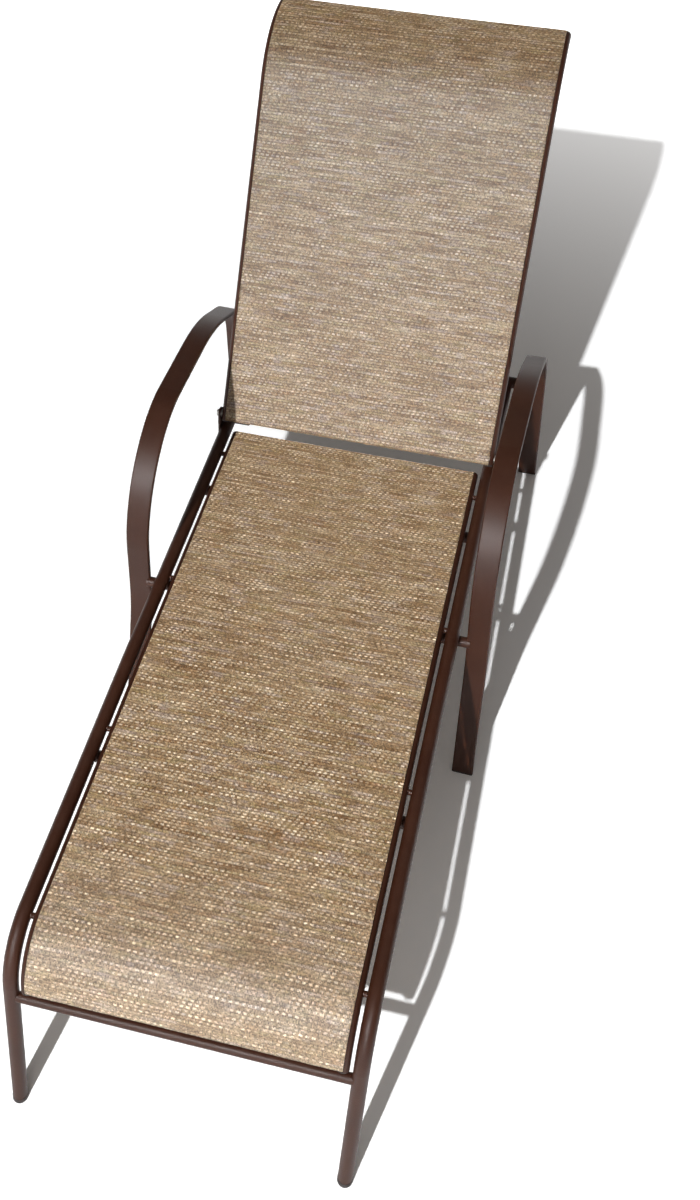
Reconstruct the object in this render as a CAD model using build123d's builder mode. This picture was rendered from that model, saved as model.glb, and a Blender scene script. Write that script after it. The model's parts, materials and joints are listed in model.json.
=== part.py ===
from build123d import *
from math import cos, radians, sin, sqrt, tan
import os

# A sling chaise lounge with a reclining back, at rest with its back up.
# X runs across the seat, Y from the foot end to the head end, Z up from the floor.
# Left is the side of -X. Lengths are in mm, angles in degrees.
# Places along the chaise are given as distances behind the front feet.

# Side rails: front leg, foot bend and long rail in one bent tube
rail_spacing = 555.0
tube_diameter = 25.0
tube_wall = 2.0
rail_height = 350.0
leg_rake = 15.2
foot_bend_radius = 100.0
level_length = 675.0
rail_dip = 1.36
dip_bend_radius = 1500.0

# Arms: front leg, arch and rear leg in one bent flat bar, along the middle of its thickness
arm_width = 42.0
arm_thickness = 10.0
arm_edge_radius = 3.0
arm_outer_spread = 720.0
arm_toe = 1.15
arm_lean = 2.58
arm_front_foot = 803.0
arm_knee_height = 258.0
arm_knee_radius = 350.0
arm_front = 870.0
arm_crown_height = 646.0
arm_crown_radius = 195.0
arm_top_slope = 8.8
arm_shoulder = 1343.0
arm_shoulder_radius = 495.0
arm_elbow = 1581.0
arm_elbow_height = 443.0
arm_elbow_radius = 195.0
arm_rear_foot = 1677.0
glide_height = 4.0
foot_overrun = 30.0

# Tubes across the frame
front_crossbar_diameter = 18.0
front_crossbar_drop = 21.4
brace_diameter = 22.0
brace_bow = 30.0
middle_brace_place = 473.0
rear_brace_place = 1140.0
stretcher_diameter = 20.0
cope_depth = 1.5
arm_lap = 6.0
crossbar_diameter = 25.0

# Front feet
foot_plug_height = 8.0
foot_plug_lip = 0.5
foot_plug_length = 24.0

# Sling rails: a round tube with a slot along its top that holds the hem of the sling
sling_rail_diameter = 20.0
sling_rail_wall = 2.0
slot_width = 3.0
seat_rail_gap = 5.0
seat_rail_end = 1290.0
seat_rail_tail = 3.0
cap_thickness = 3.0
cap_edge_radius = 1.5
cap_plug_length = 5.0
plug_clearance = 0.1

# Standoffs and screws between each side rail and its sling rail
standoff_diameter = 10.0
first_standoff = 160.0
standoff_pitch = 356.0
standoff_count = 4
screw_diameter = 5.0
screw_head_diameter = 9.0
screw_head_height = 2.5
screw_tip = 3.0

# Slings and the rods in their hems
sling_thickness = 1.2
soft_clearance = 0.3
hem_rod_diameter = 5.0
hem_rod_clearance = 0.4
hem_rod_inset = 6.0

# Backrest
pivot_place = 1311.0
pivot_rise = 37.1
rest_angle = 58.0
back_flat_length = 666.0
back_tail = 12.0
back_rail_clearance = 1.5
roll_radius = 164.0
roll_turn = 61.0
roll_end = 4.0
back_bar_diameter = 18.0
back_bar_bow = 25.0
lower_back_bar_place = 95.0
upper_back_bar_place = 590.0

# Hinges: an ear on each side rail, a bolt, a washer and a nut
bolt_diameter = 8.0
running_clearance = 0.05
side_clearance = 0.3
ear_thickness = 4.0
ear_radius = 13.0
ear_foot_length = 34.0
ear_foot_depth = 9.0
washer_diameter = 16.0
washer_thickness = 1.5
bolt_head_width = 13.0
bolt_head_height = 5.0
nut_height = 5.7
bolt_tail = 1.0

# Prop stay that holds the back up, and the notched racks that it stands in
prop_pivot_place = 180.0
prop_length = 200.0
prop_rod_drop = 22.0
prop_rod_diameter = 10.0
prop_rod_length = 536.0
prop_arm_width = 20.0
prop_arm_thickness = 5.0
prop_bush_length = 10.4
prop_bush_diameter = 14.0
prop_pin_diameter = 8.0
prop_pin_head = 3.5
prop_pin_head_diameter = 13.0
rack_thickness = 4.0
rack_sink = 0.5
rack_end = 14.0
rack_foot = 9.0
notch_pitch = 36.0
notches_each_way = 2
notch_clearance = 0.5

# Worked-out sizes of the side rails
half_spacing = rail_spacing / 2
tube_radius = tube_diameter / 2
corner_place = rail_height * tan(radians(leg_rake))
leg_direction = (sin(radians(leg_rake)), cos(radians(leg_rake)))
foot_bend_tangent = foot_bend_radius * tan(radians(90 - leg_rake) / 2)
seat_drop = foot_bend_tangent + seat_rail_tail
seat_rail_foot_height = rail_height - seat_drop * leg_direction[1]
front_crossbar_height = seat_rail_foot_height - front_crossbar_drop
foot_bend_end = corner_place + foot_bend_tangent


def rail_axis_height(place):
    """Height of a side rail's axis, and of a seat sling rail's, at a place along its top."""
    into_bend = max(0.0, foot_bend_end - place)
    bend_drop = foot_bend_radius - sqrt(foot_bend_radius ** 2 - into_bend ** 2)
    return rail_height - bend_drop - max(0.0, place - level_length) * tan(radians(rail_dip))


# Worked-out sizes of the sling rails and slings
sling_rail_radius = sling_rail_diameter / 2
seat_rail_x = half_spacing - tube_radius - seat_rail_gap - sling_rail_radius
back_rail_x = half_spacing - back_rail_clearance
sling_bottom = sling_rail_radius + soft_clearance
hem_rod_offset = sling_rail_radius - sling_rail_wall - hem_rod_clearance - hem_rod_diameter / 2
hem_rod_top = hem_rod_offset + hem_rod_diameter / 2
sling_tab_height = sling_bottom - hem_rod_top - soft_clearance

# Worked-out places of the backrest, in the side view
pivot_height = rail_axis_height(pivot_place) + pivot_rise
roll_tangent = roll_radius * tan(radians(roll_turn) / 2)
top_angle = rest_angle - roll_turn


def back_point(distance, out=0.0):
    """A point at a distance up the back from its pivot, and out from its rails' axes to the front."""
    angle = radians(rest_angle)
    return (pivot_place + distance * cos(angle) - out * sin(angle),
            pivot_height + distance * sin(angle) + out * cos(angle))


roll_corner = back_point(back_flat_length + roll_tangent)
back_top = (roll_corner[0] + (roll_tangent + roll_end) * cos(radians(top_angle)),
            roll_corner[1] + (roll_tangent + roll_end) * sin(radians(top_angle)))
rear_reach = back_top[0] + cap_thickness
front_reach = (tube_radius + foot_plug_lip) / cos(radians(leg_rake))
middle = (rear_reach - front_reach) / 2

# Worked-out places of the prop stay, with its rod over the middle notch at rest
prop_pivot = back_point(prop_pivot_place)
prop_rod_height = pivot_height - prop_rod_drop
prop_fall = prop_pivot[1] - prop_rod_height
prop_rod_place = prop_pivot[0] + sqrt(prop_length ** 2 - prop_fall ** 2)


def on_side(x):
    """The upright plane at x, with its origin on the floor between the front feet."""
    return Plane(origin=(x, -middle, 0), x_dir=(0, 1, 0), z_dir=(1, 0, 0))


def across(path):
    """The plane square to a path at its start, with X across the chaise."""
    return Plane(origin=path @ 0, x_dir=(1, 0, 0), z_dir=path % 0)


def bent_rod(points, radii, x, diameter, bore=0.0, offset_out=0.0):
    """A round bar or tube along a path in the side view, or beside it by offset_out."""
    with BuildPart() as rod:
        with BuildLine(on_side(x)) as path:
            FilletPolyline(*points, radius=radii)
        with BuildSketch(across(path.line)):
            with Locations((0, offset_out)):
                Circle(diameter / 2)
                if bore:
                    Circle(bore / 2, mode=Mode.SUBTRACT)
        sweep()
    return rod.part


def straight_rod(place, height, x_from, x_to, diameter, bore=0.0):
    """A round bar or tube that runs straight across the chaise."""
    with BuildPart() as rod:
        with BuildSketch(on_side(x_from)):
            with Locations((place, height)):
                Circle(diameter / 2)
                if bore:
                    Circle(bore / 2, mode=Mode.SUBTRACT)
        extrude(amount=x_to - x_from)
    return rod.part


def bowed_tube(half_length, end, middle_point, diameter, wall):
    """A tube across the chaise, bowed from its ends to a point in the middle of the side view."""
    plane = on_side(0)
    left = plane.from_local_coords((end[0], end[1], -half_length))
    right = plane.from_local_coords((end[0], end[1], half_length))
    low = plane.from_local_coords((middle_point[0], middle_point[1], 0))
    with BuildPart() as tube:
        with BuildLine() as path:
            ThreePointArc(left, low, right)
        with BuildSketch(Plane(origin=path.line @ 0, z_dir=path.line % 0)):
            Circle(diameter / 2)
            Circle(diameter / 2 - wall, mode=Mode.SUBTRACT)
        sweep()
    return tube.part


def export_piece(part, name):
    """Label a piece and write it."""
    part.label = name
    export_step(part, f"parts/{name}.step")


def export_pair(right, name):
    """Write a right-hand piece and its mirror image on the left."""
    with BuildPart() as left:
        mirror(right, about=Plane.YZ)
    export_piece(right, f"{name}_right")
    export_piece(left.part, f"{name}_left")


os.makedirs("parts", exist_ok=True)

# Side rails, which run back to the axis of the rear crossbar, where the arms' rear legs cross them
leg_line = (arm_rear_foot - arm_elbow) / arm_elbow_height
dip_line = tan(radians(rail_dip))
crossbar_place = ((arm_rear_foot - leg_line * (rail_height + dip_line * level_length))
                  / (1 - leg_line * dip_line))
crossbar_height = rail_axis_height(crossbar_place)
rail_path = [
    (-foot_overrun * tan(radians(leg_rake)), -foot_overrun),
    (corner_place, rail_height),
    (level_length, rail_height),
    (crossbar_place, crossbar_height),
]
rail_radii = [foot_bend_radius, dip_bend_radius]
rail_solid = bent_rod(rail_path, rail_radii, half_spacing, tube_diameter)
with BuildPart() as rail_solids:
    add(rail_solid)
    mirror(rail_solid, about=Plane.YZ)

screw_places = [first_standoff + standoff_pitch * index for index in range(standoff_count)]
tube_bore = tube_diameter - 2 * tube_wall
with BuildPart() as side_rail:
    add(bent_rod(rail_path, rail_radii, half_spacing, tube_diameter, tube_bore))
    split(bisect_by=Plane.XY.offset(foot_plug_height))
    add(straight_rod(crossbar_place, crossbar_height, 0, rail_spacing, crossbar_diameter),
        mode=Mode.SUBTRACT)
    for place in screw_places:
        add(straight_rod(place, rail_axis_height(place), 0, half_spacing,
                         screw_diameter + 2 * running_clearance), mode=Mode.SUBTRACT)
export_pair(side_rail.part, "side_rail")

# Front feet: a plug in the end of each front leg
leg_axis = Plane(origin=(half_spacing, -middle, 0), x_dir=(1, 0, 0),
                 z_dir=(0, leg_direction[0], leg_direction[1]))
with BuildPart() as foot_plug:
    with BuildSketch(leg_axis.offset(-foot_overrun)):
        Circle(tube_radius + foot_plug_lip)
    extrude(amount=2 * foot_overrun)
    split(bisect_by=Plane.XY)
    split(bisect_by=Plane.XY.offset(foot_plug_height), keep=Keep.BOTTOM)
    with BuildSketch(leg_axis):
        Circle(tube_bore / 2 - plug_clearance)
    extrude(amount=foot_plug_length)
    split(bisect_by=Plane.XY)
export_pair(foot_plug.part, "foot_plug")

# Front crossbar, between the legs
front_crossbar_place = front_crossbar_height * tan(radians(leg_rake))
with BuildPart() as front_crossbar:
    add(straight_rod(front_crossbar_place, front_crossbar_height, -half_spacing, half_spacing,
                     front_crossbar_diameter, front_crossbar_diameter - 2 * tube_wall))
    add(rail_solids.part, mode=Mode.SUBTRACT)
export_piece(front_crossbar.part, "front_crossbar")


# Seat braces, coped to the undersides of the side rails and bowed down clear of the sling
def under_rail_height(place, diameter):
    """Axis height of a tube that is coped to the underside of the side rails."""
    return rail_axis_height(place) - tube_radius - diameter / 2 + cope_depth


def seat_brace(place):
    height = under_rail_height(place, brace_diameter)
    with BuildPart() as brace:
        add(bowed_tube(half_spacing + tube_radius / 2, (place, height), (place, height - brace_bow),
                       brace_diameter, tube_wall))
        add(rail_solids.part, mode=Mode.SUBTRACT)
    return brace.part


export_piece(seat_brace(middle_brace_place), "middle_brace")
export_piece(seat_brace(rear_brace_place), "rear_brace")

# Arms, in an upright plane that toes out to the rear and leans in at the top
toe = radians(arm_toe)
lean = radians(arm_lean)
arm_along = Vector(sin(toe), cos(toe), 0)
arm_up = Vector(-sin(lean), 0, cos(lean))
arm_normal = arm_along.cross(arm_up).normalized()
arm_outer_plane = Plane(
    origin=(arm_outer_spread / 2 - arm_front_foot * tan(toe), -middle, 0),
    x_dir=arm_along, z_dir=arm_normal)
arm_middle_plane = arm_outer_plane.offset(-arm_width / 2)
arm_shoulder_height = arm_crown_height - (arm_shoulder - arm_front) * tan(radians(arm_top_slope))
front_leg_slope = (arm_front - arm_front_foot) / arm_knee_height
arm_path = [
    (arm_front_foot - foot_overrun * front_leg_slope, -foot_overrun),
    (arm_front, arm_knee_height),
    (arm_front, arm_crown_height),
    (arm_shoulder, arm_shoulder_height),
    (arm_elbow, arm_elbow_height),
    (arm_rear_foot + foot_overrun * leg_line, -foot_overrun),
]
arm_radii = [arm_knee_radius, arm_crown_radius, arm_shoulder_radius, arm_elbow_radius]
with BuildPart() as arm_bar:
    with BuildLine(arm_middle_plane) as path:
        FilletPolyline(*arm_path, radius=arm_radii)
    with BuildSketch(Plane(origin=path.line @ 0, x_dir=arm_normal, z_dir=path.line % 0)):
        RectangleRounded(arm_width, arm_thickness, arm_edge_radius)
    sweep()
with BuildPart() as arm_bars:
    add(arm_bar.part)
    mirror(arm_bar.part, about=Plane.YZ)
with BuildPart() as arm:
    add(arm_bar.part)
    split(bisect_by=Plane.XY.offset(glide_height))
export_pair(arm.part, "arm")

# A glide under each foot of the arms
with BuildPart() as glides:
    add(arm_bar.part)
    split(bisect_by=Plane.XY)
    split(bisect_by=Plane.XY.offset(glide_height), keep=Keep.BOTTOM)
glide_names = ("front_arm_glide", "rear_arm_glide")
for glide, name in zip(glides.solids().sort_by(Axis.Y), glide_names):
    with BuildPart() as arm_glide:
        add(glide)
    export_pair(arm_glide.part, name)


# Tubes that reach both arms: the stretcher under the rails and the crossbar behind them
def arm_inner_x(place, height):
    """Where the arm's inner edge is at a point of the side view."""
    outer = arm_outer_spread / 2 + (place - arm_front_foot) * tan(toe) - height * tan(lean)
    return outer - arm_width


def arm_to_arm(place, height, diameter):
    half_length = arm_inner_x(place, height) + arm_lap
    with BuildPart() as tube:
        add(straight_rod(place, height, -half_length, half_length, diameter,
                         diameter - 2 * tube_wall))
        add(arm_bars.part, mode=Mode.SUBTRACT)
    return tube.part


stretcher_height = under_rail_height(arm_front, stretcher_diameter)
with BuildPart() as arm_stretcher:
    add(arm_to_arm(arm_front, stretcher_height, stretcher_diameter))
    add(rail_solids.part, mode=Mode.SUBTRACT)
export_piece(arm_stretcher.part, "arm_stretcher")
export_piece(arm_to_arm(crossbar_place, crossbar_height, crossbar_diameter), "rear_crossbar")


# Sling rails, slings and hem rods share one kind of path, from the head end to the foot end
def sling_rail(points, radii, x):
    with BuildPart() as rail:
        with BuildLine(on_side(x)) as path:
            FilletPolyline(*points, radius=radii)
        with BuildSketch(across(path.line)):
            Circle(sling_rail_radius)
            Circle(sling_rail_radius - sling_rail_wall, mode=Mode.SUBTRACT)
            with Locations((0, sling_rail_radius - sling_rail_wall / 2)):
                Rectangle(slot_width, 2 * sling_rail_wall, mode=Mode.SUBTRACT)
        sweep()
    return rail.part


def sling(points, radii, half_spread):
    """The taut sheet over both rails, with its edges turned down into their slots."""
    with BuildPart() as sheet:
        with BuildLine(on_side(0)) as path:
            FilletPolyline(*points, radius=radii)
        with BuildSketch(across(path.line)):
            with Locations((0, sling_bottom + sling_thickness / 2)):
                Rectangle(2 * half_spread + sling_thickness, sling_thickness)
            with Locations((-half_spread, sling_bottom), (half_spread, sling_bottom)):
                Rectangle(sling_thickness, sling_tab_height, align=(Align.CENTER, Align.MAX))
        sweep()
    return sheet.part


def end_plane(x, end, outward):
    """The plane square to a rail at its end, facing outward."""
    return Plane(origin=on_side(x).from_local_coords((*end, 0)), x_dir=(1, 0, 0), z_dir=outward)


def hem_rod(points, radii, x, start, stop):
    """The rod in a rail's bore, under the slot; start and stop give an outward way and an inset."""
    with BuildPart() as rod:
        add(bent_rod(points, radii, x, hem_rod_diameter, offset_out=hem_rod_offset))
        for end, (outward, inset) in ((points[0], start), (points[-1], stop)):
            split(bisect_by=end_plane(x, end, outward).offset(-inset), keep=Keep.BOTTOM)
    return rod.part


def end_cap(x, end, outward):
    """A plug with a rounded rim, in the end of a sling rail."""
    plane = end_plane(x, end, outward)
    with BuildPart() as cap:
        with BuildSketch(plane):
            Circle(sling_rail_radius)
        extrude(amount=cap_thickness)
        fillet(cap.faces().sort_by(Axis(plane.origin, plane.z_dir))[-1].edges(), radius=cap_edge_radius)
        with BuildSketch(plane):
            Circle(sling_rail_radius - sling_rail_wall - plug_clearance)
        extrude(amount=-cap_plug_length)
    return cap.part


# Seat sling rails: along the side rails and down the same bend at the foot
seat_path = [
    (seat_rail_end, rail_axis_height(seat_rail_end)),
    (level_length, rail_height),
    (corner_place, rail_height),
    (corner_place - seat_drop * leg_direction[0], seat_rail_foot_height),
]
seat_radii = [dip_bend_radius, foot_bend_radius]
seat_rear_way = (0, 1, -dip_line)
seat_front_way = (0, -leg_direction[0], -leg_direction[1])
seat_rail_solid = bent_rod(seat_path, seat_radii, seat_rail_x, sling_rail_diameter)
with BuildPart() as seat_sling_rail:
    add(sling_rail(seat_path, seat_radii, seat_rail_x))
    for place in screw_places:
        add(straight_rod(place, rail_axis_height(place), 0, half_spacing,
                         screw_diameter + 2 * running_clearance), mode=Mode.SUBTRACT)
export_pair(seat_sling_rail.part, "seat_sling_rail")
export_piece(sling(seat_path, seat_radii, seat_rail_x), "seat_sling")
export_pair(hem_rod(seat_path, seat_radii, seat_rail_x, (seat_rear_way, hem_rod_inset),
                    (seat_front_way, hem_rod_inset)), "seat_hem_rod")
export_pair(end_cap(seat_rail_x, seat_path[0], seat_rear_way), "seat_rail_rear_cap")
export_pair(end_cap(seat_rail_x, seat_path[-1], seat_front_way), "seat_rail_front_cap")

# Standoffs and screws that hold the sling rails off the side rails
with BuildPart() as standoffs:
    for place in screw_places:
        add(straight_rod(place, rail_axis_height(place), seat_rail_x, half_spacing,
                         standoff_diameter, screw_diameter + 2 * running_clearance))
    add(seat_rail_solid, mode=Mode.SUBTRACT)
    add(rail_solid, mode=Mode.SUBTRACT)
    mirror(about=Plane.YZ)
export_piece(standoffs.part, "rail_standoffs")

screw_head_x = seat_rail_x - sling_rail_radius
screw_end = half_spacing - tube_radius + tube_wall + screw_tip
with BuildPart() as rail_screws:
    for place in screw_places:
        height = rail_axis_height(place)
        add(straight_rod(place, height, screw_head_x, screw_end, screw_diameter))
        add(straight_rod(place, height, screw_head_x - screw_head_height, screw_head_x,
                         screw_head_diameter))
    mirror(about=Plane.YZ)
export_piece(rail_screws.part, "rail_screws")

# Hinges: a bolt through an ear on the side rail and through the back rail, with a nut inside
back_outer_x = back_rail_x + sling_rail_radius
back_inner_x = back_rail_x - sling_rail_radius
ear_x = back_outer_x + side_clearance + washer_thickness
bolt_hole = bolt_diameter + 2 * running_clearance
with BuildPart() as hinge_ear:
    with BuildSketch(on_side(ear_x)):
        with Locations((pivot_place, pivot_height)):
            Circle(ear_radius)
        with Locations((pivot_place, pivot_height - pivot_rise)):
            Rectangle(ear_foot_length, 2 * ear_foot_depth)
        make_hull()
        with Locations((pivot_place, pivot_height)):
            Circle(bolt_hole / 2, mode=Mode.SUBTRACT)
    extrude(amount=ear_thickness)
    add(rail_solid, mode=Mode.SUBTRACT)
export_pair(hinge_ear.part, "hinge_ear")

bolt_head_x = ear_x + ear_thickness
nut_outer_x = back_inner_x - side_clearance
nut_x = nut_outer_x - nut_height
with BuildPart() as pivot_bolt:
    add(straight_rod(pivot_place, pivot_height, nut_x - bolt_tail, bolt_head_x, bolt_diameter))
    with BuildSketch(on_side(bolt_head_x)):
        with Locations((pivot_place, pivot_height)):
            RegularPolygon(bolt_head_width / 2, 6, major_radius=False)
    extrude(amount=bolt_head_height)
export_pair(pivot_bolt.part, "pivot_bolt")

with BuildPart() as pivot_washer:
    add(straight_rod(pivot_place, pivot_height, ear_x - washer_thickness, ear_x,
                     washer_diameter, bolt_hole))
export_pair(pivot_washer.part, "pivot_washer")

with BuildPart() as pivot_nut:
    with BuildSketch(on_side(nut_x)):
        with Locations((pivot_place, pivot_height)):
            RegularPolygon(bolt_head_width / 2, 6, major_radius=False)
            Circle(bolt_diameter / 2, mode=Mode.SUBTRACT)
    extrude(amount=nut_height)
export_pair(pivot_nut.part, "pivot_nut")

# Racks: a notched plate inside each side rail
rod_radius = prop_rod_diameter / 2
rack_top = prop_rod_height - rod_radius - notch_clearance
notch_places = [prop_rod_place + notch_pitch * step
                for step in range(-notches_each_way, notches_each_way + 1)]
rack_inner_x = half_spacing - tube_radius + rack_sink - rack_thickness
with BuildPart() as ratchet_rack:
    with BuildSketch(on_side(rack_inner_x)):
        with BuildLine():
            Polyline(
                (notch_places[0] - rack_end, rack_top),
                (notch_places[0] - rack_end, rail_axis_height(notch_places[0]) - rack_foot),
                (notch_places[-1] + rack_end, rail_axis_height(notch_places[-1]) - rack_foot),
                (notch_places[-1] + rack_end, rack_top),
                close=True)
        make_face()
        with Locations(*[(place, rack_top) for place in notch_places]):
            Circle(rod_radius + notch_clearance, mode=Mode.SUBTRACT)
    extrude(amount=rack_thickness)
    add(rail_solid, mode=Mode.SUBTRACT)
export_pair(ratchet_rack.part, "ratchet_rack")


# Backrest rails: straight from below the hinge, then rolled back at the top
back_path = [back_top, roll_corner, back_point(-back_tail)]
back_radii = [roll_radius]
back_top_way = (0, cos(radians(top_angle)), sin(radians(top_angle)))
back_low_way = (0, -cos(radians(rest_angle)), -sin(radians(rest_angle)))
back_rail_solid = bent_rod(back_path, back_radii, back_rail_x, sling_rail_diameter)
with BuildPart() as back_rail_solids:
    add(back_rail_solid)
    mirror(back_rail_solid, about=Plane.YZ)
pin_hole = prop_pin_diameter + 2 * running_clearance
with BuildPart() as back_sling_rail:
    add(sling_rail(back_path, back_radii, back_rail_x))
    add(straight_rod(pivot_place, pivot_height, 0, rail_spacing, bolt_hole), mode=Mode.SUBTRACT)
    add(straight_rod(*prop_pivot, 0, back_rail_x, pin_hole), mode=Mode.SUBTRACT)
export_pair(back_sling_rail.part, "back_sling_rail")
export_piece(sling(back_path, back_radii, back_rail_x), "back_sling")
low_inset = back_tail + bolt_diameter / 2 + hem_rod_inset
export_pair(hem_rod(back_path, back_radii, back_rail_x, (back_top_way, hem_rod_inset),
                    (back_low_way, low_inset)), "back_hem_rod")
export_pair(end_cap(back_rail_x, back_path[0], back_top_way), "back_rail_top_cap")
export_pair(end_cap(back_rail_x, back_path[-1], back_low_way), "back_rail_low_cap")


# Crossbars of the back, bowed away from the sling
def back_crossbar(distance):
    with BuildPart() as bar:
        add(bowed_tube(back_rail_x, back_point(distance), back_point(distance, -back_bar_bow),
                       back_bar_diameter, tube_wall))
        add(back_rail_solids.part, mode=Mode.SUBTRACT)
    return bar.part


export_piece(back_crossbar(lower_back_bar_place), "lower_back_crossbar")
export_piece(back_crossbar(upper_back_bar_place), "upper_back_crossbar")

# Prop stay: two flat arms on pins in the back rails, joined by the rod that rests in the racks
bush_outer_x = back_inner_x
bush_inner_x = bush_outer_x - prop_bush_length
prop_arm_outer_x = bush_inner_x - side_clearance
prop_arm_inner_x = prop_arm_outer_x - prop_arm_thickness
with BuildPart() as prop_bush:
    add(straight_rod(*prop_pivot, bush_inner_x, bush_outer_x, prop_bush_diameter, pin_hole))
    add(back_rail_solid, mode=Mode.SUBTRACT)
export_pair(prop_bush.part, "prop_bush")

rail_bore_radius = sling_rail_radius - sling_rail_wall
pin_end_x = back_rail_x - sqrt(rail_bore_radius ** 2 - (prop_pin_diameter / 2) ** 2)
pin_head_x = prop_arm_inner_x - side_clearance
with BuildPart() as prop_pin:
    add(straight_rod(*prop_pivot, pin_head_x, pin_end_x, prop_pin_diameter))
    add(straight_rod(*prop_pivot, pin_head_x - prop_pin_head, pin_head_x, prop_pin_head_diameter))
export_pair(prop_pin.part, "prop_pin")

prop_rod_center = (prop_rod_place, prop_rod_height)
with BuildPart() as prop_arm:
    with BuildSketch(on_side(prop_arm_inner_x)):
        with Locations(prop_pivot, prop_rod_center):
            Circle(prop_arm_width / 2)
        make_hull()
        with Locations(prop_pivot):
            Circle(pin_hole / 2, mode=Mode.SUBTRACT)
        with Locations(prop_rod_center):
            Circle(rod_radius, mode=Mode.SUBTRACT)
    extrude(amount=prop_arm_thickness)
export_pair(prop_arm.part, "prop_arm")
export_piece(straight_rod(*prop_rod_center, -prop_rod_length / 2, prop_rod_length / 2,
                          prop_rod_diameter), "prop_rod")
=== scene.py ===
import json
import math

import bpy
from mathutils import Matrix, Vector


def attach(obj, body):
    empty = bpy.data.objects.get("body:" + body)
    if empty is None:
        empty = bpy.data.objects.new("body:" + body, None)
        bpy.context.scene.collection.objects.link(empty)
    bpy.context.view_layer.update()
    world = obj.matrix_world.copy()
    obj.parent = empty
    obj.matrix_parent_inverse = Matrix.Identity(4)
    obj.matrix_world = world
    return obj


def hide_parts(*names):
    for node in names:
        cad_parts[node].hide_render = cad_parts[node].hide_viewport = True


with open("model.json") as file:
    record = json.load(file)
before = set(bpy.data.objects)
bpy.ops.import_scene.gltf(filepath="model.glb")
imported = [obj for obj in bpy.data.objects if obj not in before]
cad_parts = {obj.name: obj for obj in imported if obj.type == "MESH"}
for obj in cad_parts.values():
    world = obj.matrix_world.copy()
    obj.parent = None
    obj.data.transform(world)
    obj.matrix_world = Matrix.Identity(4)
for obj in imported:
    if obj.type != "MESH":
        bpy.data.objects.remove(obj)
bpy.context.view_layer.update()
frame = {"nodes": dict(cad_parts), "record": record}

MM = 0.001
WHITE = (1.0, 1.0, 1.0)

# Camera, fitted to the straight tubes and the feet. The picture is PICTURE_PX wide and high, and the
# camera looks along the line through CENTRE_PX.
CAMERA_PLACE = Vector((0.349376, -1.544932, 2.233886))
CAMERA_YAW, CAMERA_PITCH, CAMERA_ROLL = -0.234369, 0.856631, -0.007016
FOCAL_PX = 1311.86
PICTURE_PX, CENTRE_PX = (700.0, 1200.0), (300.0, 570.0)
SENSOR = 36.0


def make_camera():
    forward = Vector((math.sin(CAMERA_YAW) * math.cos(CAMERA_PITCH),
                      math.cos(CAMERA_YAW) * math.cos(CAMERA_PITCH), -math.sin(CAMERA_PITCH)))
    right = Vector((math.cos(CAMERA_YAW), -math.sin(CAMERA_YAW), 0.0))
    down = forward.cross(right)
    c, s = math.cos(CAMERA_ROLL), math.sin(CAMERA_ROLL)
    right, down = c * right + s * down, c * down - s * right
    data = bpy.data.cameras.new("camera")
    data.sensor_width = SENSOR
    data.lens = FOCAL_PX / PICTURE_PX[1] * SENSOR
    data.shift_x = (PICTURE_PX[0] / 2 - CENTRE_PX[0]) / PICTURE_PX[1]
    data.shift_y = (CENTRE_PX[1] - PICTURE_PX[1] / 2) / PICTURE_PX[1]
    camera = bpy.data.objects.new("camera", data)
    turn = Matrix((right, -down, -forward)).transposed().to_4x4()
    camera.matrix_world = Matrix.Translation(CAMERA_PLACE) @ turn
    bpy.context.scene.collection.objects.link(camera)
    bpy.context.scene.camera = camera


make_camera()


def rgb(colour):
    return (*colour, 1.0)


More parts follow.
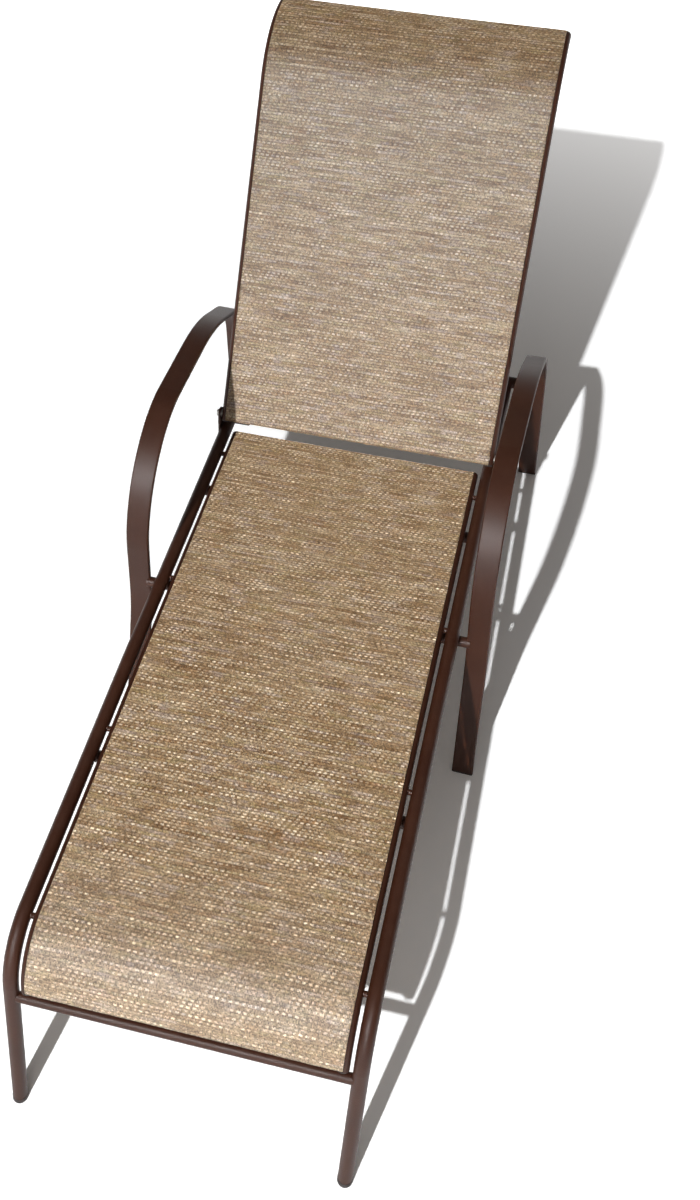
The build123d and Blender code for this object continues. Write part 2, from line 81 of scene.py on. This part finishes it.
class Nodes:
    """Short calls that add nodes to one node tree. A value is a number, a colour or another node's socket."""

    def __init__(self, tree):
        self.tree = tree

    def add(self, kind, **settings):
        node = self.tree.nodes.new(kind)
        for key, value in settings.items():
            setattr(node, key, value)
        return node

    def put(self, socket, value):
        if isinstance(value, bpy.types.NodeSocket):
            self.tree.links.new(value, socket)
        else:
            socket.default_value = value

    def fill(self, node, inputs):
        for key, value in inputs.items():
            self.put(node.inputs[key], value)
        return node

    def math(self, operation, *values):
        return self.fill(self.add("ShaderNodeMath", operation=operation), dict(enumerate(values))).outputs[0]

    def chain(self, operation, first, *others):
        """The operation on the first two values, then on that and the third, and so on."""
        for value in others:
            first = self.math(operation, first, value)
        return first

    def scaled(self, value, by, plus=0.0):
        return self.math("MULTIPLY_ADD", value, by, plus)

    def step(self, value, low, high):
        """0 up to low, 1 from high on, smooth between. Where low is the greater, it falls from 1 to 0."""
        node = self.add("ShaderNodeMapRange", interpolation_type="SMOOTHSTEP")
        return self.fill(node, {"Value": value, "From Min": low, "From Max": high}).outputs[0]

    def blend(self, share, at_0, at_1):
        """at_0 where the share is 0, at_1 where it is 1, in proportion between."""
        node = self.add("ShaderNodeMapRange")
        return self.fill(node, {"Value": share, "To Min": at_0, "To Max": at_1}).outputs[0]

    def mix(self, share, a, b, mode="MIX"):
        """Colours a and b. In the node, a colour's inputs are 6 and 7, and its output is 2."""
        node = self.add("ShaderNodeMix", data_type="RGBA", blend_type=mode)
        return self.fill(node, {0: share, 6: a, 7: b}).outputs[2]

    def noise(self, where, scale=1.0, detail=2.0, rough=0.5):
        node = self.add("ShaderNodeTexNoise")
        inputs = {"Vector": where, "Scale": scale, "Detail": detail, "Roughness": rough}
        return self.fill(node, inputs).outputs[0]

    def chance(self, x, y):
        """A number from 0 to 1, new in each whole step of x and of y."""
        node = self.add("ShaderNodeTexWhiteNoise", noise_dimensions="2D")
        where = self.vector(self.math("FLOOR", x), self.math("FLOOR", y))
        return self.fill(node, {"Vector": where}).outputs["Value"]

    def vector(self, x, y, z=0.0):
        return self.fill(self.add("ShaderNodeCombineXYZ"), {0: x, 1: y, 2: z}).outputs[0]

    def grey(self, value):
        return self.vector(value, value, value)

    def parts(self, vector):
        return self.fill(self.add("ShaderNodeSeparateXYZ"), {0: vector}).outputs

    def ramp(self, value, stops):
        """The stops' colours, blended between their places. Each stop is (place, colour)."""
        node = self.fill(self.add("ShaderNodeValToRGB"), {0: value})
        elements = node.color_ramp.elements
        while len(elements) < len(stops):
            elements.new(stops[-1][0])
        for element, (place, colour) in zip(elements, stops):
            element.position = place
            element.color = rgb(colour)
        return node.outputs[0]

    def bump(self, height, depth):
        node = self.add("ShaderNodeBump")
        return self.fill(node, {"Strength": 1.0, "Distance": depth, "Height": height}).outputs[0]


class Surface(Nodes):
    """A material, with its Principled shader."""

    def __init__(self, name):
        self.material = bpy.data.materials.new(name)
        self.material.use_nodes = True
        super().__init__(self.material.node_tree)

    def place(self):
        """The place on the object, in metres."""
        return self.add("ShaderNodeTexCoord").outputs["Object"]

    def shade(self, inputs):
        self.fill(self.tree.nodes["Principled BSDF"], inputs)
        return self.material


POLYMER_IOR = 1.5
PAINT = ((0.30, (0.034, 0.0088, 0.0030)), (0.70, (0.050, 0.0145, 0.0056)))
PAINT_SPECK, PAINT_DUST = (0.075, 0.036, 0.024), (0.30, 0.24, 0.20)
PAINT_DUST_SHARE = 0.02
PAINT_SPECULAR = 0.34
PLASTIC = ((0.35, (0.020, 0.014, 0.012)), (0.70, (0.034, 0.025, 0.022)))
STEEL = ((0.3, (0.42, 0.40, 0.38)), (0.7, (0.62, 0.60, 0.57)))


def powder_coat():
    """Dark brown satin powder coat with a fine orange peel and a little dust on what faces up."""
    n = Surface("powder_coat")
    where = n.place()
    mottle = n.noise(where, scale=9.0, detail=4.0, rough=0.6)
    speck = n.noise(where, scale=1400.0, detail=1.0)
    peel = n.noise(where, scale=640.0, rough=0.55)
    drift = n.noise(where, scale=26.0, detail=5.0, rough=0.65)
    up = n.parts(n.add("ShaderNodeNewGeometry").outputs["Normal"])[2]
    dust = n.chain("MULTIPLY", n.step(up, low=0.3, high=1.0), n.step(drift, low=0.35, high=0.75))
    colour = n.mix(n.scaled(dust, by=PAINT_DUST_SHARE), n.ramp(mottle, PAINT), rgb(PAINT_DUST))
    colour = n.mix(n.step(speck, low=0.62, high=0.74), colour, rgb(PAINT_SPECK))
    return n.shade({"Base Color": colour, "Roughness": n.scaled(mottle, by=0.10, plus=0.42),
                    "IOR": POLYMER_IOR, "Specular IOR Level": PAINT_SPECULAR,
                    "Normal": n.bump(peel, depth=0.00018)})


def moulded_plastic():
    """Dark brown moulded plastic with a fine spark-eroded grain."""
    n = Surface("moulded_plastic")
    where = n.place()
    grain = n.noise(where, scale=1500.0, rough=0.6)
    tone = n.noise(where, scale=60.0, detail=3.0)
    return n.shade({"Base Color": n.ramp(tone, PLASTIC), "Roughness": n.scaled(tone, by=0.2, plus=0.5),
                    "Normal": n.bump(grain, depth=0.0002)})


def stainless_steel():
    """Plain turned stainless hardware, with fine turning marks and duller patches."""
    n = Surface("stainless_steel")
    where = n.place()
    x, y, z = n.parts(where)
    marks = n.noise(n.vector(n.scaled(x, by=9.0), y, z), scale=900.0)
    dull = n.noise(where, scale=120.0, detail=3.0)
    return n.shade({"Base Color": n.ramp(dull, STEEL), "Metallic": 1.0,
                    "Roughness": n.scaled(dull, by=0.3, plus=0.22), "Normal": n.bump(marks, depth=0.00005)})


# Weave of the slings, in mm: flecks of weft in rows, each row FLECK_SHIFT_SHARE of their pitch on from the
# last, over the warp. GRAIN is the spacing of the single stitches along a row and from row to row. A fleck
# is FLECK_FAINT strong, and up to FLECK_LUCK more.
METRE = 1000.0
FLECK_PITCH, FLECK_SHIFT_SHARE = 10.2, 0.25
FLECK_FAINT, FLECK_LUCK = 0.45, 0.60
ROW_PITCH, ROW_WANDER = 5.6, 4.0
PICK_PITCH = ROW_PITCH / 2
WARP_PITCH = 2.55
GRAIN = (2.1, 1.9)
PATTERN_START = 500.0
WEAVE_DEPTH = 0.55 * MM

# Yarn colours, each with the shade at which it is reached, from the darkest on
GROUND = ((0.32, (0.165, 0.082, 0.030)), (0.44, (0.240, 0.147, 0.070)),
          (0.56, (0.310, 0.210, 0.116)), (0.68, (0.410, 0.305, 0.190)))
WEFT = ((0.34, (0.185, 0.105, 0.048)), (0.44, (0.360, 0.245, 0.135)),
        (0.53, (0.610, 0.475, 0.320)), (0.66, (0.860, 0.740, 0.570)))

# Dark seams between the rows, and painted sheen: a pale colour at the far end, which grows over these metres
# before it
SEAM, SEAM_SHARE = (0.120, 0.058, 0.022), 0.72
PAINTED_SHEEN, SHEEN_START, SHEEN_FULL = (0.47, 0.41, 0.335), 0.34, 0.10

# Stretches of other dyes: the streak's (along, row step, seed), where it fades in, its greatest share and
# its colour
DYES = (((0.020, 2.31, 33.0), (0.52, 0.66), 0.35, (0.42, 0.35, 0.33)),
        ((0.017, 2.77, 57.0), (0.52, 0.66), 0.35, (0.33, 0.26, 0.11)),
        ((0.022, 1.93, 77.0), (0.55, 0.66), 0.22, (0.42, 0.22, 0.09)))


def sling_cloth(name, length, tone, far_painted_light, coat, coat_roughness, floats, far_sheen):
    """Vinyl-coated mesh: tan warp, and space-dyed weft that floats up in rows of cream flecks.
    tone and the next argument scale its colour at its head end and at its other end, with a smooth ramp
    between:
    painted shade where below 1, painted sheen where above 1. floats is how strongly its flecks show, and the
    last argument is how much painted sheen, a pale colour, covers its other end."""
    n = Surface(name)
    across, along = n.parts(n.add("ShaderNodeUVMap", uv_map="weave").outputs[0])[:2]
    u, v = n.scaled(across, by=METRE), n.scaled(along, by=METRE)
    wander = n.noise(n.vector(n.scaled(u, by=0.010), n.scaled(v, by=0.003)), detail=1.0)
    v = n.math("ADD", v, n.scaled(wander, by=ROW_WANDER))
    u = n.math("ADD", u, PATTERN_START)
    rows = n.math("DIVIDE", v, ROW_PITCH)
    row, in_row = n.math("FLOOR", rows), n.math("FRACT", rows)

    def streaks(along_row, row_step, seed):
        """A shade from 0 to 1 that drifts along a row and is new in the next one."""
        return n.noise(n.vector(n.scaled(u, by=along_row), n.scaled(row, by=row_step), seed), rough=0.6)

    # Flecks: raised in the middle of their row, and each strong or faint by chance
    place = n.math("ADD", n.math("DIVIDE", u, FLECK_PITCH), n.scaled(row, by=FLECK_SHIFT_SHARE))
    luck = n.chance(place, row)
    off_centre = n.math("ABSOLUTE", n.math("SUBTRACT", n.math("FRACT", place), 0.5))
    crown = n.math("SUBTRACT", 1.0, n.math("POWER", n.scaled(in_row, by=2.0, plus=-1.0), 2.0))
    fleck = n.chain("MULTIPLY", n.step(off_centre, low=0.37, high=0.17), n.step(crown, low=0.25, high=0.95),
                    n.scaled(luck, by=FLECK_LUCK * floats, plus=FLECK_FAINT * floats))

    # Colours of the yarns
    broad = n.noise(n.vector(n.scaled(u, by=0.004), n.scaled(v, by=0.022), 9.0))
    every_other = n.math("MODULO", n.math("ABSOLUTE", row), 2.0)
    shade = n.chain("ADD", streaks(0.019, 7.31, 3.0),
                    n.scaled(streaks(0.085, 4.77, 5.0), by=0.30, plus=-0.15),
                    n.scaled(broad, by=0.14, plus=-0.07), n.scaled(every_other, by=0.07, plus=-0.03))
    ground_shade = n.chain("ADD", streaks(0.011, 3.17, 21.0), n.scaled(broad, by=0.12, plus=-0.06))
    colour = n.mix(fleck, n.ramp(ground_shade, GROUND), n.ramp(shade, WEFT))
    for streak, reach, share, dye in DYES:
        colour = n.mix(n.scaled(n.step(streaks(*streak), *reach), by=share), colour, rgb(dye))
    seam = n.chain("MULTIPLY", n.step(crown, low=0.62, high=0.12),
                   n.step(streaks(0.014, 5.71, 41.0), low=0.36, high=0.54))
    colour = n.mix(n.scaled(seam, by=SEAM_SHARE), colour, rgb(SEAM))
    # Painted sheen: a pale colour mixed in over the last stretch of the far end, where the light's highlight
    # falls on the seat's foot bend
    sheen_share = n.scaled(n.step(along, low=length - SHEEN_START, high=length - SHEEN_FULL), by=far_sheen)
    colour = n.mix(sheen_share, colour, rgb(PAINTED_SHEEN))

    # Light and dark of the stitches, which multiplies the colours
    grain = n.chance(n.math("DIVIDE", u, GRAIN[0]), n.math("DIVIDE", v, GRAIN[1]))
    clump = n.noise(n.vector(n.scaled(u, by=0.34), n.scaled(v, by=0.50)), detail=1.0)
    ribs = n.math("COSINE", n.scaled(u, by=2.0 * math.pi / WARP_PITCH))
    picks = n.math("COSINE", n.scaled(v, by=2.0 * math.pi / PICK_PITCH))
    light = n.chain("ADD", n.scaled(ribs, by=0.10), n.scaled(picks, by=0.09, plus=0.31),
                    n.scaled(grain, by=0.96), n.scaled(clump, by=0.46))
    # Painted shade and sheen: the colours are scaled by a smooth ramp from the head end to the other end
    painted_light_ramp = n.scaled(n.step(along, low=0.0, high=length), by=far_painted_light - tone, plus=tone)
    colour = n.mix(1.0, colour, n.grey(n.chain("MULTIPLY", light, painted_light_ramp)), "MULTIPLY")

    height = n.chain("ADD", n.scaled(fleck, by=0.5), n.scaled(crown, by=0.25),
                     n.chain("MULTIPLY", ribs, n.scaled(fleck, by=-0.13, plus=0.15)),
                     n.scaled(picks, by=0.08), n.scaled(grain, by=0.10))
    return n.shade({"Base Color": colour, "Roughness": n.scaled(fleck, by=-0.06, plus=0.50),
                    "IOR": POLYMER_IOR, "Diffuse Roughness": 1.0,
                    "Coat Weight": coat, "Coat Roughness": coat_roughness,
                    "Normal": n.bump(height, depth=WEAVE_DEPTH)})


# The two slings wear one cloth. The back's colour is scaled down, most at its top, as painted shade against
# the stronger light on it; the seat's grows paler towards its foot end, painted sheen
seat_weave = sling_cloth("seat_weave", length=1.25, tone=0.90, far_painted_light=1.15, coat=0.5, coat_roughness=0.60,
                         floats=0.95, far_sheen=0.16)
back_weave = sling_cloth("back_weave", length=0.86, tone=0.72, far_painted_light=1.00, coat=0.25, coat_roughness=0.5,
                         floats=0.62, far_sheen=0.0)
BY_SLOT = {"frame_paint": powder_coat(), "plug_plastic": moulded_plastic(),
           "hardware_steel": stainless_steel(), "sling_mesh": seat_weave}

for row in frame["record"]["subparts"]:
    data = frame["nodes"][row["node"]].data
    data.materials.clear()
    data.materials.append(BY_SLOT[row["material_slot"]])


# Paths of the slings in the side view, in mm behind the front feet and over the floor. MIDDLE, the frame's
# origin in those mm, turns them into the frame's Y. X is half the width between the rails' slots.
MIDDLE = 902.5562

# Seat: level up to LEVEL_END, a slight dip from there to the head end, and a bend down at the foot end
# along the front legs, which lean by RAKE
RAIL_HEIGHT, LEVEL_END, SEAT_END = 350.0, 675.0, 1290.0
RAKE, DIP = math.radians(15.2), math.radians(1.36)
FOOT_BEND, DIP_BEND = 100.0, 1500.0
FOOT_STRAIGHT, SEAT_TRIM = 3.0, 4.0
FOOT_CORNER = RAIL_HEIGHT * math.tan(RAKE)
FOOT_DROP = FOOT_BEND * math.tan((math.pi / 2 - RAKE) / 2) + FOOT_STRAIGHT
SEAT_X = 250.0
SEAT_PATH = [(SEAT_END, RAIL_HEIGHT - (SEAT_END - LEVEL_END) * math.tan(DIP)), (LEVEL_END, RAIL_HEIGHT),
             (FOOT_CORNER, RAIL_HEIGHT),
             (FOOT_CORNER - FOOT_DROP * math.sin(RAKE), RAIL_HEIGHT - FOOT_DROP * math.cos(RAKE))]
SEAT_RADII = [DIP_BEND, FOOT_BEND]

# Back: straight from below its hinge up to BACK_FLAT, then the roll, which turns back and down
HINGE, RECLINE = (1311.0, 372.001), math.radians(58.0)
BACK_FLAT, BACK_TAIL = 666.0, 12.0
ROLL, ROLL_TURN, ROLL_END = 164.0, math.radians(61.0), 4.0
BACK_X = 276.0


def from_place(place, angle, distance):
    return (place[0] + distance * math.cos(angle), place[1] + distance * math.sin(angle))


ROLL_TANGENT = ROLL * math.tan(ROLL_TURN / 2)
ROLL_CORNER = from_place(HINGE, RECLINE, BACK_FLAT + ROLL_TANGENT)
BACK_PATH = [from_place(ROLL_CORNER, RECLINE - ROLL_TURN, ROLL_TANGENT + ROLL_END), ROLL_CORNER,
             from_place(HINGE, RECLINE, -BACK_TAIL)]

# Section of the cloth, in mm: its underside is CLOTH_UNDER out from its path, and its edges turn down into
# the slots by TAB. EDGE_FLAT is where the flat part starts, in from the slot.
CLOTH, CLOTH_UNDER, TAB = 1.2, 10.3, 2.4
EDGE_ROUND, EDGE_STEPS, EDGE_FLAT = 1.1, 4, 4.0
SHEET_PITCH, SHEET_COLUMNS = 7.0, 60

# Form of the cloth, in mm: it sags, most where no brace is near, ripples a little, and is thicker at the
# hems. RIPPLE_ALONG, _ACROSS and _SKEW are wavelengths over 2 pi.
SAG, BRACE_PITCH, BRACE_SHARE = 1.2, 356.0, 0.25
RIPPLE, RIPPLE_ALONG, RIPPLE_ACROSS, RIPPLE_SKEW = 0.25, 31.0, 47.0, 160.0
HEM_LENGTH, HEM_EDGE, HEM_OVER, HEM_UNDER = 24.0, 2.0, 0.35, 0.7
HEM_FADE_SHARE = 0.1


def smooth(x, low, high):
    t = min(1.0, max(0.0, (x - low) / (high - low)))
    return t * t * (3 - 2 * t)


def turned(vector, angle):
    c, s = math.cos(angle), math.sin(angle)
    return Vector((c * vector.x - s * vector.y, s * vector.x + c * vector.y))


def rounded_path(points, radii, trim):
    """Stations, evenly spaced along a polyline with rounded corners, that stop short of its end by trim.
    Each is (distance, place, direction). Their last distance is the second value that is returned."""
    sections = []
    start = Vector(points[0])
    for before, corner, after, radius in zip(points, points[1:], points[2:], radii):
        corner = Vector(corner)
        way, next_way = (corner - Vector(before)).normalized(), (Vector(after) - corner).normalized()
        turn = math.atan2(way.x * next_way.y - way.y * next_way.x, way.dot(next_way))
        tangent = radius * math.tan(abs(turn) / 2)
        bend = corner - way * tangent
        sections.append((start, way, 0.0, radius, (bend - start).length))
        sections.append((bend, way, turn, radius, abs(turn) * radius))
        start = corner + next_way * tangent
    last = Vector(points[-1])
    sections.append((start, (last - start).normalized(), 0.0, 0.0, (last - start).length))
    total = sum(section[-1] for section in sections) - trim
    count = max(2, round(total / SHEET_PITCH))
    stations = []
    for index in range(count + 1):
        s = total * index / count
        left, which = s, 0
        while which < len(sections) - 1 and left > sections[which][-1]:
            left -= sections[which][-1]
            which += 1
        begin, way, turn, radius, _ = sections[which]
        if turn:
            angle = math.copysign(left / radius, turn)
            centre = begin + Vector((-way.y, way.x)) * math.copysign(1.0, turn) * radius
            stations.append((s, centre + turned(begin - centre, angle), turned(way, angle)))
        else:
            stations.append((s, begin + way * left, way.copy()))
    return stations, total


def link(name, verts, faces, uvs, material):
    mesh = bpy.data.meshes.new(name)
    mesh.from_pydata(verts, [], faces)
    if uvs:
        layer = mesh.uv_layers.new(name="weave")
        for loop in mesh.loops:
            layer.data[loop.index].uv = uvs[loop.vertex_index]
    mesh.materials.append(material)
    mesh.polygons.foreach_set("use_smooth", [True] * len(mesh.polygons))
    mesh.update()
    piece = bpy.data.objects.new(name, mesh)
    bpy.context.scene.collection.objects.link(piece)
    return piece


def at(path_place, way, x, out):
    """A point of the frame: x across, and out from the path at a place of the side view."""
    place = path_place + Vector((way.y, -way.x)) * out
    return (x * MM, (place.x - MIDDLE) * MM, place.y * MM)


def cloth_profile(half):
    """Across the cloth, as (x, out): its top and its underside, each from slot to slot."""
    outer, inner, top_out = -half - CLOTH / 2, -half + CLOTH / 2, CLOTH_UNDER + CLOTH
    left = [(outer, CLOTH_UNDER - TAB), (outer, CLOTH_UNDER)]
    for step in range(1, EDGE_STEPS + 1):
        a = math.pi / 2 * step / EDGE_STEPS
        left.append((outer + EDGE_ROUND * (1 - math.cos(a)), top_out - EDGE_ROUND * (1 - math.sin(a))))
    flat_x = half - EDGE_FLAT
    flat = [-flat_x + 2 * flat_x * i / SHEET_COLUMNS for i in range(SHEET_COLUMNS + 1)]
    low_left = [(inner, CLOTH_UNDER - TAB), (inner, CLOTH_UNDER)]

    def mirrored(side):
        return [(-x, out) for x, out in reversed(side)]

    top = left + [(x, top_out) for x in flat] + mirrored(left)
    under = low_left + [(x, CLOTH_UNDER) for x in flat] + mirrored(low_left)
    return top, under


def end_faces(upper, lower):
    """Triangles that close an end of the cloth between two rows of points."""
    made, i, j = [], 0, 0
    while i < len(upper) - 1 or j < len(lower) - 1:
        if j == len(lower) - 1 or (i < len(upper) - 1 and i * len(lower) <= j * len(upper)):
            made.append((upper[i], lower[j], upper[i + 1]))
            i += 1
        else:
            made.append((upper[i], lower[j], lower[j + 1]))
            j += 1
    return made


def make_sling(name, points, radii, half, trim, ripple_start, weave):
    """A stretched sling and its length. The way round its section is its top, then its underside."""
    stations, total = rounded_path(points, radii, trim)
    top, under = cloth_profile(half)
    section = [(x, out, True) for x, out in top] + [(x, out, False) for x, out in reversed(under)]
    verts, uvs, faces = [], [], []
    for s, place, way in stations:
        hem = 1.0 - smooth(min(s, total - s), HEM_LENGTH - HEM_EDGE, HEM_LENGTH)
        for x, out, upper in section:
            middle = max(0.0, 1.0 - (x / half) ** 2)
            brace = (1.0 - BRACE_SHARE) + BRACE_SHARE * math.cos(2 * math.pi * s / BRACE_PITCH)
            pull = SAG * middle * brace
            pull += (RIPPLE * middle * math.sin(s / RIPPLE_ALONG + ripple_start)
                     * math.sin(x / RIPPLE_ACROSS + s / RIPPLE_SKEW))
            extra = (HEM_OVER if upper else -HEM_UNDER) * hem * smooth(middle, 0.0, HEM_FADE_SHARE)
            verts.append(at(place, way, x, out - pull + extra))
            uvs.append((x * MM, s * MM))
    ring = len(section)
    for i in range(len(stations) - 1):
        for j in range(ring):
            a, b = i * ring + j, i * ring + (j + 1) % ring
            faces.append((a, b, b + ring, a + ring))
    for base, is_first in ((0, True), ((len(stations) - 1) * ring, False)):
        upper = [base + k for k in range(len(top))]
        lower = [base + ring - 1 - k for k in range(len(under))]
        faces += [tuple(reversed(f)) if is_first else f for f in end_faces(upper, lower)]
    return link(name, verts, faces, uvs, weave), total


seat, seat_length = make_sling("seat_cloth", SEAT_PATH, SEAT_RADII, SEAT_X, trim=SEAT_TRIM, ripple_start=0.4,
                               weave=seat_weave)
back, back_length = make_sling("back_cloth", BACK_PATH, [ROLL], BACK_X, trim=0.0, ripple_start=2.1,
                               weave=back_weave)

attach(seat, "frame")
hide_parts("seat_sling")
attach(back, "backrest")
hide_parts("back_sling")

# Floor: FLOOR_LIT is its colour for the light that it throws back. What the camera and gloss see is paler,
# and turns plain white at the distances WHITE_REACH from WHITE_FROM, as a studio sweep does.
FLOOR_HALF, FLOOR_LIT = 30.0, (0.52, 0.51, 0.50)
FLOOR_GAIN, FLOOR_MOTTLE = 1.19, 0.03
WHITE_FROM, WHITE_REACH = (0.0, 0.0, 0.0), (0.95, 4.3)


def make_floor():
    n = Surface("floor_white")
    where = n.place()
    path = n.add("ShaderNodeLightPath").outputs
    seen = n.math("MAXIMUM", path["Is Camera Ray"], path["Is Glossy Ray"])
    gain = n.scaled(n.noise(where, scale=3.0), by=FLOOR_MOTTLE, plus=FLOOR_GAIN)
    far = n.fill(n.add("ShaderNodeVectorMath", operation="DISTANCE"), {0: where, 1: WHITE_FROM})
    white = n.step(far.outputs["Value"], *WHITE_REACH)
    material = n.shade({"Base Color": n.mix(seen, rgb(FLOOR_LIT), n.grey(gain)), "Roughness": 1.0,
                        "Specular IOR Level": 0.0, "Emission Color": rgb(WHITE),
                        "Emission Strength": n.chain("MULTIPLY", seen, white)})
    corners = [(x * FLOOR_HALF, y * FLOOR_HALF, 0) for x, y in ((-1, -1), (1, -1), (1, 1), (-1, 1))]
    link("floor", corners, [(0, 1, 2, 3)], None, material)


make_floor()

# Light: a small key lamp high before the foot end, a broad soft fill, and a sky that grows brighter towards
# its top. The camera sees the sky as plain white. Powers are in watts.
KEY_PLACE, KEY_RADIUS, KEY_POWER = (-1.248, -6.193, 6.080), 0.07, 43.0
FILL_PLACE, FILL_AIM, FILL_SIZE, FILL_POWER = (-0.3, -4.2, 1.5), (0.0, -0.4, 0.35), (2.4, 1.2), 34.0
SKY_LOW, SKY_HIGH = 0.03, 0.28
SKY_COLOUR, KEY_COLOUR = (1.0, 0.95, 0.905), (0.985, 1.0, 1.01)


def add_light(name, kind, place, power):
    data = bpy.data.lights.new(name, kind)
    data.energy = power
    lamp = bpy.data.objects.new(name, data)
    lamp.location = place
    bpy.context.scene.collection.objects.link(lamp)
    return lamp, data


def make_light():
    data = add_light("key", "POINT", KEY_PLACE, KEY_POWER)[1]
    data.shadow_soft_size = KEY_RADIUS
    data.color = KEY_COLOUR
    data.use_nodes = True
    n = Nodes(data.node_tree)
    steady = n.fill(n.add("ShaderNodeLightFalloff"), {"Strength": 1.0})
    n.fill(n.tree.nodes["Emission"], {"Strength": steady.outputs["Constant"]})

    fill, data = add_light("fill", "AREA", FILL_PLACE, FILL_POWER)
    data.shape = "RECTANGLE"
    data.size, data.size_y = FILL_SIZE
    fill.rotation_euler = (Vector(FILL_AIM) - Vector(FILL_PLACE)).to_track_quat("-Z", "Y").to_euler()

    world = bpy.data.worlds.new("world")
    bpy.context.scene.world = world
    world.use_nodes = True
    n = Nodes(world.node_tree)
    path = n.add("ShaderNodeLightPath").outputs
    seen = n.math("MAXIMUM", path["Is Camera Ray"], path["Is Transmission Ray"])
    up = n.parts(n.add("ShaderNodeTexCoord").outputs["Generated"])[2]
    sky = n.blend(n.math("POWER", up, 2.0), SKY_LOW, SKY_HIGH)
    n.fill(n.tree.nodes["Background"], {"Color": n.mix(seen, rgb(SKY_COLOUR), rgb(WHITE)),
                                        "Strength": n.blend(seen, sky, 1.0)})


make_light()
bpy.context.scene.view_settings.view_transform = "Standard"
